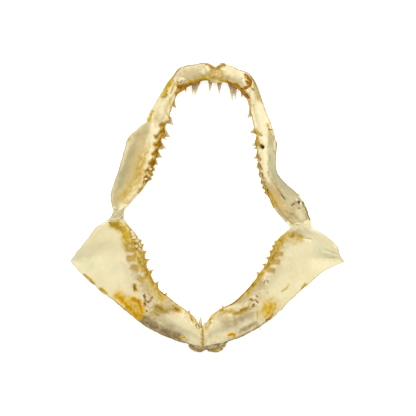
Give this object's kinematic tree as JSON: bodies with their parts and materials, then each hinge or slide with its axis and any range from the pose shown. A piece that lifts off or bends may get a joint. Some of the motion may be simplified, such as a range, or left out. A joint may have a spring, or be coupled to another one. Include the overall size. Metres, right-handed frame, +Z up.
{
  "type": "shark jaw",
  "caption": "Dried shark jaw set, opened flat with its inner side up: four jaw cartilages with rows of pointed teeth, joined at the fronts and at both jaw joints.",
  "frame": {"origin": "middle of the outline at floor level, where the jaw lies on its outer side", "axes": "+Z up, out of the jaw's inner side; +Y towards the upper jaw's front; +X towards the right of someone who looks at the inner side with the upper jaw away from them"},
  "size_m": [0.1369, 0.1503, 0.0327],
  "materials": {
    "cartilage": "satin, translucent at the thin edges",
    "ligament": "dried and glossy",
    "symphysis_tissue": "dried, golden brown"
  },
  "bodies": {
    "root": {"upper_jaw_left": "cartilage", "upper_jaw_right": "cartilage", "lower_jaw_left": "cartilage", "lower_jaw_right": "cartilage", "jaw_joint_left": "ligament", "jaw_joint_right": "ligament", "upper_symphysis": "symphysis_tissue", "lower_symphysis": "symphysis_tissue"}
  },
  "joints": []
}
